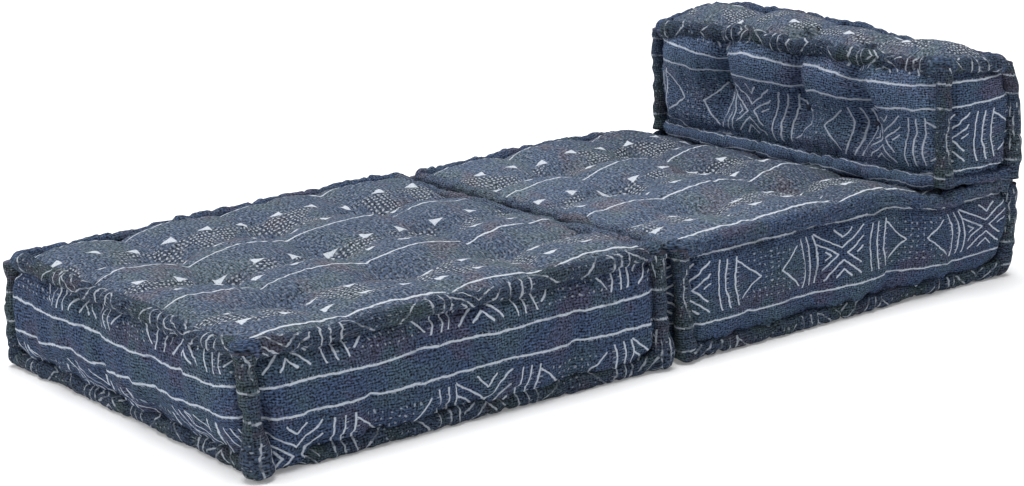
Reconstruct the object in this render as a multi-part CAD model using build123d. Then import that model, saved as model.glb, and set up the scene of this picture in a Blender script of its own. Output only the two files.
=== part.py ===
from build123d import *
import math
import os

# Low modular floor sofa: two square floor cushions in a row and a back cushion
# that stands on the rear end of the rear one.
# Frame: millimetres, +Z up, origin on the floor at the centre of the outline.
# The sitter faces -Y: the front module is towards -Y, the back cushion is at +Y,
# and left and right are the sitter's.

# ---------------------------------------------------------------- dimensions
MODULE_W = 700.0        # both floor cushions, across the row (X), over the rolls
MODULE_L = 700.0        # both floor cushions, along the row (Y), over the rolls
MODULE_H = 180.0        # both floor cushions, over the rolls
SEAT_REAR_H = 160.0     # seat cushion where the back cushion presses it down
SEAT_FLAT_L = 430.0     # seat cushion's length at full height, from its front
SEAT_SLOPE_L = 95.0     # length over which the seat cushion's top drops
MODULE_GAP = 6.0        # between the two floor cushions, roll to roll

BACK_W = 700.0          # back cushion, across the row
BACK_T = 165.0          # back cushion, thickness
BACK_H = 203.0          # back cushion, height over the rolls
BACK_CLEAR = 0.4        # back cushion's underside above the pressed seat top

ROLL_R = 13.0           # stitched rolled edge, radius
ROLL_CORNER_R = 19.0    # plan radius of the roll's centre line at a corner
PANEL_INSET = 6.0       # side panel's outer face, behind the roll's outside
CLOTH_T = 3.0           # quilted cotton panel
CROWN = 12.0            # rise of a floor cushion's top above its rolls
BACK_CROWN = 8.0        # rise of the back cushion's top above its rolls

TUFT_FRACTIONS = (0.25, 0.50, 0.75)
TIE_R = 1.6             # tufting twine
DIMPLE_R = 46.0         # tuft dimple, radius at the surface
DIMPLE_D = 20.0         # tuft dimple, depth at the top and at the back's faces
BASE_DIMPLE_D = 9.0     # tuft dimple, depth in an underside
KNOT_R = 7.0            # knotted tuft of twine
KNOT_H = 3.5

OVER = 40.0             # extra length of a cutting solid

# --------------------------------------------------------- placed positions
TOTAL_L = 2 * MODULE_L + MODULE_GAP
FRONT_Y0 = -TOTAL_L / 2
SEAT_Y0 = FRONT_Y0 + MODULE_L + MODULE_GAP
BACK_Y0 = TOTAL_L / 2 - BACK_T
BACK_Z0 = SEAT_REAR_H + BACK_CLEAR

os.makedirs("parts", exist_ok=True)


def block(x0, x1, y0, y1, z0, z1):
    """Box between two corners."""
    return Pos((x0 + x1) / 2, (y0 + y1) / 2, (z0 + z1) / 2) * Box(
        x1 - x0, y1 - y0, z1 - z0
    )


def prism(points, x0, x1):
    """Solid between x0 and x1 with a side outline given as (y, z) points."""
    face = make_face(Polyline(*[(x0, y, z) for y, z in points], close=True))
    return Solid.extrude(face.face(), Vector(x1 - x0, 0, 0))


def rod(p, q, r):
    """Round rod of radius r from p to q."""
    p, q = Vector(*p), Vector(*q)
    plane = Plane(origin=p, z_dir=(q - p))
    return Solid.make_cylinder(r, (q - p).length, plane)


def cone(tip, opening, r_tip, r_open):
    """Cone from a small end at tip to a wide end at opening."""
    p, q = Vector(*tip), Vector(*opening)
    plane = Plane(origin=p, z_dir=(q - p))
    return Solid.make_cone(r_tip, r_open, (q - p).length, plane)


def joined(shapes):
    """One solid from overlapping shapes."""
    out = shapes[0]
    for s in shapes[1:]:
        out = out + s
    return out


def less(shape, *cutters):
    for c in cutters:
        for s in c if isinstance(c, (list, tuple)) else [c]:
            shape = shape - s
    return shape


def flat_ring(x0, x1, y0, y1, z):
    """Rolled edge that runs level around a rounded rectangle."""
    a, b = x1 - x0, y1 - y0
    path = Pos((x0 + x1) / 2, (y0 + y1) / 2, z) * RectangleRounded(a, b, ROLL_CORNER_R)
    wire = path.face().outer_wire()
    start = wire @ 0
    section = Plane(origin=start, z_dir=wire % 0) * Circle(ROLL_R)
    return sweep(section.face(), path=wire)


def stepped_ring(x0, x1, y0, y1, z0, z1, ys0, ys1):
    """Rolled edge that is level at z0, drops between ys0 and ys1, and is level at z1."""
    c = ROLL_CORNER_R
    parts = []

    def arc(cx, cy, z, a0):
        ring = Pos(cx, cy, z) * Torus(c, ROLL_R)
        ca, sa = math.cos(math.radians(a0)), math.sin(math.radians(a0))
        cb, sb = math.cos(math.radians(a0 + 90)), math.sin(math.radians(a0 + 90))
        far = c + ROLL_R + 5
        xs = sorted([cx, cx + far * (ca + cb)])
        ys = sorted([cy, cy + far * (sa + sb)])
        return ring & block(xs[0], xs[1], ys[0], ys[1], z - 2 * ROLL_R, z + 2 * ROLL_R)

    parts.append(rod((x0 + c, y0, z0), (x1 - c, y0, z0), ROLL_R))
    parts.append(rod((x0 + c, y1, z1), (x1 - c, y1, z1), ROLL_R))
    for x in (x0, x1):
        parts.append(rod((x, y0 + c, z0), (x, ys0, z0), ROLL_R))
        parts.append(rod((x, ys0, z0), (x, ys1, z1), ROLL_R))
        parts.append(rod((x, ys1, z1), (x, y1 - c, z1), ROLL_R))
        parts.append(Pos(x, ys0, z0) * Sphere(ROLL_R))
        parts.append(Pos(x, ys1, z1) * Sphere(ROLL_R))
    parts.append(arc(x1 - c, y1 - c, z1, 0))
    parts.append(arc(x0 + c, y1 - c, z1, 90))
    parts.append(arc(x0 + c, y0 + c, z0, 180))
    parts.append(arc(x1 - c, y0 + c, z0, 270))
    return joined(parts)


def vault(x0, x1, y0, y1, z_bottom, z_edge, rise):
    """Block whose top is crowned both ways: rise in the middle, none at mid-edges."""
    a, b = x1 - x0, y1 - y0
    xm, ym = (x0 + x1) / 2, (y0 + y1) / 2
    top = z_edge + rise
    rx, ry = (a * a / 4 + rise * rise) / (2 * rise), (b * b / 4 + rise * rise) / (2 * rise)
    body = block(x0, x1, y0, y1, z_bottom, top)
    along_y = Solid.make_cylinder(rx, b + 2 * OVER, Plane(origin=(xm, y0 - OVER, top - rx), z_dir=(0, 1, 0)))
    along_x = Solid.make_cylinder(ry, a + 2 * OVER, Plane(origin=(x0 - OVER, ym, top - ry), z_dir=(1, 0, 0)))
    return body & along_y & along_x


def vault_height(x, y, x0, x1, y0, y1, z_edge, rise):
    """Height of the crowned top at a point."""
    a, b = x1 - x0, y1 - y0
    xm, ym = (x0 + x1) / 2, (y0 + y1) / 2
    if not (x0 <= x <= x1 and y0 <= y <= y1):
        return z_edge
    rx, ry = (a * a / 4 + rise * rise) / (2 * rise), (b * b / 4 + rise * rise) / (2 * rise)
    zx = z_edge + rise - rx + math.sqrt(rx * rx - (x - xm) ** 2)
    zy = z_edge + rise - ry + math.sqrt(ry * ry - (y - ym) ** 2)
    return min(zx, zy)


def write(name, shape):
    solids = shape.solids()
    if len(solids) == 1:
        out = solids[0]
    else:
        out = Compound(children=list(solids))
    export_step(out, f"parts/{name}.step")
    print(f"{name:28s} solids {len(solids):3d} volume {sum(s.volume for s in solids)/1e3:10.1f} cm3")


def cushion(name, x0, x1, y0, y1, z0, h_front, h_rear, ys0, ys1, crown, tie_axis):
    """One stuffed cushion: panels, rolled edges, stuffing, ties and knots.

    The top is level at z0 + h_front up to ys0, drops until ys1, and is level at
    z0 + h_rear from there. tie_axis is the way that the tufting twine runs.
    """
    r = ROLL_R
    cx0, cx1, cy0, cy1 = x0 + r, x1 - r, y0 + r, y1 - r
    zb, zf, zr = z0 + r, z0 + h_front - r, z0 + h_rear - r
    level = abs(h_front - h_rear) < 1e-6

    base_roll = flat_ring(cx0, cx1, cy0, cy1, zb)
    if level:
        top_roll = flat_ring(cx0, cx1, cy0, cy1, zf)
    else:
        top_roll = stepped_ring(cx0, cx1, cy0, cy1, zf, zr, ys0, ys1)

    # corner rolls stand between the two perimeter rolls
    d = ROLL_CORNER_R * (1 - math.sqrt(0.5))
    corners = []
    for x, y, top in (
        (cx0 + d, cy0 + d, zf), (cx1 - d, cy0 + d, zf),
        (cx1 - d, cy1 - d, zr), (cx0 + d, cy1 - d, zr),
    ):
        post = less(rod((x, y, zb), (x, y, top), r - 0.5), base_roll, top_roll)
        corners.append(max(post.solids(), key=lambda s: s.volume))

    # outline of the cloth skin and of the stuffing inside it
    top_drop = 4.0
    def outline(inset, low, high):
        pts = [(y0 + inset, z0 + low), (y1 - inset, z0 + low)]
        pts.append((y1 - inset, z0 + h_rear - high))
        if not level:
            pts += [(ys1, z0 + h_rear - high), (ys0, z0 + h_front - high)]
        pts.append((y0 + inset, z0 + h_front - high))
        return pts

    o, t = PANEL_INSET, CLOTH_T
    skin_base = 0.0 if tie_axis == "z" else 1.0
    skin = prism(outline(o, skin_base, top_drop), x0 + o, x1 - o)
    core = prism(outline(o + t, skin_base + t, top_drop + t), x0 + o + t, x1 - o - t)
    yc0, yc1 = cy0, (cy1 if level else ys0)
    z_edge = z0 + h_front - top_drop
    rise = crown + top_drop
    skin = skin + vault(cx0, cx1, yc0, yc1, zf - 20, z_edge, rise)
    core = core + vault(cx0, cx1, yc0, yc1, zf - 20, z_edge - t, rise)

    # tufts: dimple cones, twine holes and knots
    ties, knots, cut_skin, cut_core, holes = [], [], [], [], []

    def tuft(surface, inward, depth):
        s, n = Vector(*surface), Vector(*inward)
        tip, out = s + n * depth, s - n * OVER
        k = OVER / depth
        r_open = DIMPLE_R + (DIMPLE_R - KNOT_R) * k
        cut_skin.append(cone(tuple(tip), tuple(out), KNOT_R, r_open))
        cut_core.append(cone(tuple(tip + n * t), tuple(out + n * t), KNOT_R + 0.01, r_open))
        knots.append(rod(tuple(tip + n * t), tuple(tip + n * (t - KNOT_H)), KNOT_R))
        return tip + n * t

    if tie_axis == "z":
        for fx in TUFT_FRACTIONS:
            for fy in TUFT_FRACTIONS:
                x, y = x0 + fx * (x1 - x0), y0 + fy * (y1 - y0)
                if level or y < ys0:
                    zt = vault_height(x, y, cx0, cx1, yc0, yc1, z_edge, rise)
                elif y > ys1:
                    zt = z0 + h_rear - top_drop
                else:
                    zt = z0 + h_front - top_drop + (h_rear - h_front) * (y - ys0) / (ys1 - ys0)
                p = tuft((x, y, zt), (0, 0, -1), DIMPLE_D)
                q = tuft((x, y, z0 + skin_base), (0, 0, 1), BASE_DIMPLE_D)
                ties.append(rod(tuple(q), tuple(p), TIE_R))
    else:
        zm = z0 + 0.47 * h_front
        for fx in TUFT_FRACTIONS:
            x = x0 + fx * (x1 - x0)
            p = tuft((x, y0 + o, zm), (0, 1, 0), DIMPLE_D)
            q = tuft((x, y1 - o, zm), (0, -1, 0), DIMPLE_D)
            ties.append(rod(tuple(p), tuple(q), TIE_R))

    shell_cut = [base_roll, top_roll] + corners
    core = less(core, cut_core, ties, shell_cut)
    core = max(core.solids(), key=lambda s: s.volume)
    inner = less(
        prism(outline(o + t, skin_base + t, top_drop + t), x0 + o + t, x1 - o - t)
        + vault(cx0, cx1, yc0, yc1, zf - 20, z_edge - t, rise),
        cut_core,
    )
    skin = less(skin, cut_skin, inner, knots, shell_cut)

    # the skin comes apart along the rolls into a top, a base and four borders
    big = 2000.0
    zt_cut = max(zf, zr) + 60
    top_zone = prism(
        [(y0 - OVER, zf), (ys0 if not level else y0 + 10, zf)]
        + ([(ys1, zr)] if not level else [])
        + [(y1 + OVER, zr), (y1 + OVER, zt_cut + big), (y0 - OVER, zt_cut + big)],
        x0 - OVER, x1 + OVER,
    )
    base_zone = block(x0 - OVER, x1 + OVER, y0 - OVER, y1 + OVER, z0 - OVER, zb)

    def main(shape, many=1):
        return sorted(shape.solids(), key=lambda s: -s.volume)[:many]

    pieces = {}
    pieces["top_panel"] = main(skin & block(cx0, cx1, cy0, cy1, zr - 35, z0 + big))
    pieces["base_panel"] = main(skin & block(cx0, cx1, cy0, cy1, z0 - big, zb + 25))
    wall = less(skin, top_zone, base_zone)
    pieces["front_border"] = main(wall & block(cx0, cx1, y0 - OVER, cy0 + 22, z0 - big, z0 + big))
    pieces["rear_border"] = main(wall & block(cx0, cx1, cy1 - 22, y1 + OVER, z0 - big, z0 + big))
    pieces["left_border"] = main(wall & block(cx1 + 1, x1 + OVER, cy0, cy1, z0 - big, z0 + big))
    pieces["right_border"] = main(wall & block(x0 - OVER, cx0 - 1, cy0, cy1, z0 - big, z0 + big))
    pieces["top_roll"] = [top_roll.solids()[0]]
    pieces["base_roll"] = [base_roll.solids()[0]]
    pieces["corner_rolls"] = corners
    pieces["cotton_core"] = [core]
    pieces["tuft_ties"] = ties
    pieces["tuft_knots"] = knots
    for piece, solids in pieces.items():
        write(f"{name}_{piece}", Compound(children=list(solids)) if len(solids) > 1 else solids[0])


X0, X1 = -MODULE_W / 2, MODULE_W / 2

# front floor cushion
cushion("front", X0, X1, FRONT_Y0, FRONT_Y0 + MODULE_L, 0.0,
        MODULE_H, MODULE_H, 0.0, 0.0, CROWN, "z")

# seat floor cushion, pressed down at the rear
cushion("seat", X0, X1, SEAT_Y0, SEAT_Y0 + MODULE_L, 0.0,
        MODULE_H, SEAT_REAR_H, SEAT_Y0 + SEAT_FLAT_L, SEAT_Y0 + SEAT_FLAT_L + SEAT_SLOPE_L,
        CROWN, "z")

# back cushion, tufted from its front face to its rear face
cushion("back", -BACK_W / 2, BACK_W / 2, BACK_Y0, BACK_Y0 + BACK_T, BACK_Z0,
        BACK_H, BACK_H, 0.0, 0.0, BACK_CROWN, "y")
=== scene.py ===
import bpy
import math
import numpy as np
from mathutils import Matrix, Vector


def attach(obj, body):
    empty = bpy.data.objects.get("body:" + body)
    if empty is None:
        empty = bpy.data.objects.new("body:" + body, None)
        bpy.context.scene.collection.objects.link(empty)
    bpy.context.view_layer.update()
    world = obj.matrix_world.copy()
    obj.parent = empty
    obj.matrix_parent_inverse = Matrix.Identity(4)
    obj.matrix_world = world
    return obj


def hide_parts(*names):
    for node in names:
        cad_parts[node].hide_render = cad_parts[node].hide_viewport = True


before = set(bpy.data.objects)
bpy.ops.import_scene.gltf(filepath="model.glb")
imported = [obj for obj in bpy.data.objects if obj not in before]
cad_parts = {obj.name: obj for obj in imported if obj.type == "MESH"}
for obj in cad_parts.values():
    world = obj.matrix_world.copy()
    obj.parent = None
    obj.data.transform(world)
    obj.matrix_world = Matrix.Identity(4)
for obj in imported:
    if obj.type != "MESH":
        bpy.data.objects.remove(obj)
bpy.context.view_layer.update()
scene = bpy.context.scene

# ---------------------------------------------------------------- smooth noise


class Waves:
    """Smooth seeded noise made of sine waves, about -1 to 1, over points in metres."""

    def __init__(self, seed, length, dims=3, count=14, spread=0.45):
        r = np.random.default_rng(seed)
        k = r.normal(size=(count, dims))
        k /= np.linalg.norm(k, axis=1)[:, None]
        wavelength = length * (1 + spread * r.uniform(-1, 1, size=count))
        self.k = k * (2 * np.pi / wavelength)[:, None]
        self.phase = r.uniform(0, 2 * np.pi, size=count)
        self.scale = 1.0 / math.sqrt(count / 2) / 1.35

    def __call__(self, *coords):
        p = np.stack([np.asarray(c, dtype=float) for c in coords], axis=-1)
        return np.sin(p @ self.k.T + self.phase).sum(axis=-1) * self.scale


def smooth(a, b, x):
    """0 at a and 1 at b; a may be the larger one."""
    t = np.clip((x - a) / (b - a), 0, 1)
    return t * t * (3 - 2 * t)


# ---------------------------------------------------------------- the three cushions
# Seam lines lie on the centre lines of the rolled edges.

SX = 0.337
SLOPE = (0.433, 0.528, 0.020)  # the seat cushion's top steps down here, by the third number


def seat_drop(y):
    return SLOPE[2] * np.clip((y - SLOPE[0]) / (SLOPE[1] - SLOPE[0]), 0, 1)


CUSHIONS = {
    "front": dict(y=(-0.690, -0.016), z=(0.013, 0.167), seed=11, kind="floor"),
    "seat": dict(y=(0.016, 0.690), z=(0.013, 0.167), seed=23, kind="floor"),
    "back": dict(y=(0.551, 0.690), z=(0.1734, 0.3504), seed=37, kind="back"),
}

# Where the corners of each real cushion sag or lean, in metres: front/rear, near (+X)/far, bottom/top.
SAG = {
    "front": {
        (0, 0, 0): (0.000, 0.010, 0.000), (0, 1, 0): (0.000, 0.003, 0.000), (1, 0, 0): (0.002, -0.008, 0.000),
        (1, 1, 0): (0, 0, 0), (0, 0, 1): (0, -0.004, 0.001), (0, 1, 1): (0, 0.008, -0.009),
        (1, 0, 1): (0, -0.007, 0.004), (1, 1, 1): (0, 0.001, -0.004),
    },
    "seat": {
        (0, 0, 0): (0, 0.011, 0), (0, 1, 0): (0, 0.012, 0), (1, 0, 0): (-0.006, -0.019, 0), (1, 1, 0): (0, 0, 0),
        (0, 0, 1): (0, 0.001, 0), (0, 1, 1): (0, 0.018, -0.007), (1, 0, 1): (0, 0.009, 0.001), (1, 1, 1): (0, 0.004, 0.003),
    },
    "back": {
        (0, 0, 0): (0, 0, 0), (0, 1, 0): (0.008, 0, -0.001), (1, 0, 0): (0, 0.004, -0.012), (1, 1, 0): (0, 0, 0),
        (0, 0, 1): (0, 0.001, 0.004), (0, 1, 1): (0, 0.001, -0.010), (1, 0, 1): (0, -0.009, -0.008), (1, 1, 1): (0, -0.013, 0.009),
    },
}


def sag(name, p):
    """Leans and droops the points of one cushion as its corners do."""
    c = CUSHIONS[name]
    y0, y1 = c["y"][0] - 0.013, c["y"][1] + 0.013
    z0, z1 = c["z"][0] - 0.013, c["z"][1] + 0.013
    fx = np.clip((0.35 - p[:, 0]) / 0.70, 0, 1)  # 0 near, 1 far
    fy = np.clip((p[:, 1] - y0) / (y1 - y0), 0, 1)
    fz = np.clip((p[:, 2] - z0) / (z1 - z0), 0, 1)
    out = p.copy()
    for (iy, ix, iz), d in SAG[name].items():
        w = (fy if iy else 1 - fy) * (fx if ix else 1 - fx) * (fz if iz else 1 - fz)
        out += w[:, None] * np.array(d)
    if name == "back":
        # its rear swells out half way up
        out[:, 1] += 0.019 * np.sin(np.pi * fz) * smooth(0.4, 1.0, fy) * (1 - 0.7 * fx)
        # and its top is crowned along its length, more on the far half
        out[:, 2] += 0.0115 * np.sin(np.pi * fx**2.0) * fz**2
        back_edge = smooth(0.2, 1.0, fy) * fz**2
        out[:, 2] += (0.005 * np.exp(-(((p[:, 0] + 0.10) / 0.055) ** 2)) - 0.0065 * np.exp(-(((p[:, 0] - 0.18) / 0.055) ** 2))) * back_edge
    if name == "front":
        out[:, 1] -= 0.005 * np.sin(np.pi * fz) * (1 - fy) * fx**2
        # the far edge stands a little higher in its middle
        out[:, 2] += 0.0065 * np.exp(-(((p[:, 1] + 0.205) / 0.125) ** 2)) * smooth(0.72, 1.0, fx) * fz**2
        out[:, 2] += 0.0050 * np.exp(-(((p[:, 1] + 0.005) / 0.030) ** 2)) * smooth(0.80, 1.0, fx) * fz**2
    if name == "seat":
        out[:, 1] += 0.016 * np.sin(np.pi * fz**0.8) * fy**3 * (1 - fx) ** 3
        far = 0.0060 * np.exp(-(((p[:, 1] - 0.25) / 0.16) ** 2)) - 0.0045 * np.exp(-(((p[:, 1] - 0.455) / 0.045) ** 2))
        out[:, 2] += (far + 0.0045 * np.exp(-(((p[:, 1] - 0.008) / 0.030) ** 2))) * smooth(0.72, 1.0, fx) * fz**2
    low = 0.0006 if name != "back" else -1
    out[:, 2] = np.maximum(out[:, 2], low)
    return out


# ---------------------------------------------------------------- meshes


def make_object(name, verts, faces, uvs=None, slots=None, materials=()):
    me = bpy.data.meshes.new(name)
    me.from_pydata([tuple(v) for v in verts], [], faces)
    for m in materials:
        me.materials.append(m)
    if slots is not None:
        me.polygons.foreach_set("material_index", np.asarray(slots, dtype=np.int32))
    if uvs is not None:
        layer = me.uv_layers.new(name="cloth")
        layer.data.foreach_set("uv", np.asarray(uvs, dtype=np.float32).ravel())
    me.polygons.foreach_set("use_smooth", np.ones(len(me.polygons), dtype=bool))
    me.update()
    o = bpy.data.objects.new(name, me)
    scene.collection.objects.link(o)
    return o


def points(me):
    a = np.empty(len(me.vertices) * 3, dtype=np.float64)
    me.vertices.foreach_get("co", a)
    return a.reshape(-1, 3)


def set_points(me, p):
    me.vertices.foreach_set("co", np.asarray(p, dtype=np.float64).ravel())
    me.update()


def normals(me):
    a = np.empty(len(me.vertices) * 3, dtype=np.float32)
    me.vertex_normals.foreach_get("vector", a)
    return a.reshape(-1, 3).astype(float)


def ticks(lo, hi, step, centre):
    n0 = math.floor((centre - lo - 1e-6) / step)
    n1 = math.floor((hi - centre - 1e-6) / step)
    inner = [centre + step * i for i in range(-n0, n1 + 1)]
    inner = [v for v in inner if v - lo > 0.3 * step and hi - v > 0.3 * step]
    return [lo] + inner + [hi]


def lattice(xs, ys, zs):
    """The surface of a box as a closed grid: points, quads, and the side that each quad is on."""
    nx, ny, nz = len(xs) - 1, len(ys) - 1, len(zs) - 1
    index, verts, keys = {}, [], []

    def at(i, j, k):
        key = (i, j, k)
        if key not in index:
            index[key] = len(verts)
            verts.append((xs[i], ys[j], zs[k]))
            keys.append(key)
        return index[key]

    quads, side = [], []
    for i in range(nx):
        for j in range(ny):
            quads.append((at(i, j, nz), at(i + 1, j, nz), at(i + 1, j + 1, nz), at(i, j + 1, nz)))
            side.append("top")
            quads.append((at(i, j, 0), at(i, j + 1, 0), at(i + 1, j + 1, 0), at(i + 1, j, 0)))
            side.append("base")
    for i in range(nx):
        for k in range(nz):
            quads.append((at(i, 0, k), at(i + 1, 0, k), at(i + 1, 0, k + 1), at(i, 0, k + 1)))
            side.append("front")
            quads.append((at(i, ny, k), at(i, ny, k + 1), at(i + 1, ny, k + 1), at(i + 1, ny, k)))
            side.append("rear")
    for j in range(ny):
        for k in range(nz):
            quads.append((at(nx, j, k), at(nx, j + 1, k), at(nx, j + 1, k + 1), at(nx, j, k + 1)))
            side.append("left")
            quads.append((at(0, j, k), at(0, j, k + 1), at(0, j + 1, k + 1), at(0, j + 1, k)))
            side.append("right")
    return np.array(verts), np.array(keys), quads, side


def hump(t):
    return np.sin(np.pi * np.clip(t, 0, 1)) ** 0.9


def cells(v, lines):
    """How far a point is from the tuft lines on both sides of it: 0 on a line, 1 half way between two."""
    out = np.zeros_like(v)
    for a, b in zip(lines[:-1], lines[1:]):
        m = (v >= a) & (v <= b)
        out[m] = hump((v[m] - a) / (b - a))
    return out


TUFT_X = (-0.175, 0.0, 0.175)
BACK_TUFTS = ((-0.172, 0.2545), (0.018, 0.2470), (0.174, 0.2440))  # the tufts of the back cushion sit unevenly
BACK_LINES = (-SX,) + tuple(t[0] for t in BACK_TUFTS) + (SX,)


def tuft_height(x):
    return np.interp(x, [t[0] for t in BACK_TUFTS], [t[1] for t in BACK_TUFTS])

# Cloth coordinates on the sides. u runs along the row of motifs and v up; both in metres of cloth.
# PHASE: where the motif repeat starts, and the height that is the middle of a motif band, per side.
PHASE = {
    "front": dict(left=(-0.633, 0.1740), front=(-0.096, 0.1740), rear=(0.05, 0.1740), right=(0.1, 0.1740)),
    "seat": dict(left=(0.023, 0.1030), front=(0.0, 0.1030), rear=(0.05, 0.1030), right=(0.1, 0.1030)),
    "back": dict(left=(0.555, 0.2390), front=(-0.086, 0.2390), rear=(0.02, 0.2390), right=(0.1, 0.2390)),
}
TUCK = 0.012


def tucked(y):
    """1 where the front cushion's lower roll on the +X side lies under the panel."""
    return 1 - smooth(-0.640, -0.600, y)


def band_v(z, hi, mid, lo):
    """Height in the cloth, from the heights at which three of its long lines lie."""
    v = np.where(z > hi, 0.100 + z - hi, 0.059 + (z - mid) / (hi - mid) * 0.041)
    v = np.where(z < mid, -0.059 + (z - lo) / (mid - lo) * 0.118, v)
    return np.where(z < lo, -0.059 + z - lo, v)


def side_uv(name, side, p):
    """Cloth coordinates of points p (metres) on one side, before the cushion is squashed."""
    c = CUSHIONS[name]
    u0, v0 = PHASE[name][side]
    along = {"left": p[:, 1], "right": -p[:, 1], "front": p[:, 0], "rear": -p[:, 0]}[side]
    v = p[:, 2] - v0
    if name == "seat":
        v = v * 1.2
    if name == "back":
        hi, mid, lo = 0.3240, 0.2858, 0.1836
        if side == "front":
            hi = np.interp(p[:, 0], (-0.35, -0.31, -0.218, -0.170, -0.14, -0.058, 0.014, 0.085, 0.158, 0.257, 0.35),
                           (0.331, 0.3296, 0.314, 0.310, 0.320, 0.322, 0.318, 0.323, 0.314, 0.316, 0.3235))
            mid = np.interp(p[:, 0], (-0.35, -0.33, -0.227, -0.16, -0.12, -0.083, -0.015, 0.027, 0.085, 0.145, 0.19, 0.262, 0.35),
                            (0.302, 0.300, 0.289, 0.281, 0.285, 0.289, 0.283, 0.280, 0.285, 0.278, 0.276, 0.281, 0.286))
            lo = np.interp(p[:, 0], (-0.35, -0.30, -0.25, -0.18, -0.11, 0.02, 0.25, 0.35), (0.196, 0.193, 0.181, 0.180, 0.178, 0.1765, 0.1765, 0.183))
        elif side == "left":
            rear = np.clip((p[:, 1] - 0.551) / 0.139, 0, 1)
            hi, mid, lo = 0.3245 + 0.0045 * rear, 0.2863 + 0.0135 * rear, 0.188 + 0.008 * rear
        v = band_v(p[:, 2], hi, mid, lo)
    u = along - u0
    if name == "front" and side == "front":
        # the cloth of this side is pulled askew below the plain band and above it
        u = u - 1.15 * np.clip(0.074 - p[:, 2], 0, 1) + 0.35 * np.clip(p[:, 2] - 0.12, 0, 1)
        # the plain band rises, falls and widens along this side
        upper = np.interp(p[:, 0], (-0.34, -0.32, -0.25, -0.21, -0.14, -0.08, -0.035, 0.03, 0.27, 0.32), (0.120, 0.119, 0.1145, 0.112, 0.115, 0.116, 0.110, 0.1115, 0.1115, 0.117))
        lower = np.interp(p[:, 0], (-0.34, -0.31, -0.22, -0.16, -0.10, -0.035, 0.03, 0.27, 0.32), (0.076, 0.066, 0.063, 0.070, 0.070, 0.063, 0.067, 0.0715, 0.078))
        dz = p[:, 2] - upper
        v = -0.059 + np.where(dz > 0, dz, np.maximum(dz * 0.041 / (upper - lower), -0.041) + np.minimum(p[:, 2] - lower, 0))
    if name == "front" and side == "left":
        # near the front corner the panel reaches down to the floor over its roll
        v = v - 0.009 * tucked(p[:, 1]) * (1 - smooth(0.025, 0.075, p[:, 2]))
    return np.stack([u, v], axis=1)


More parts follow.
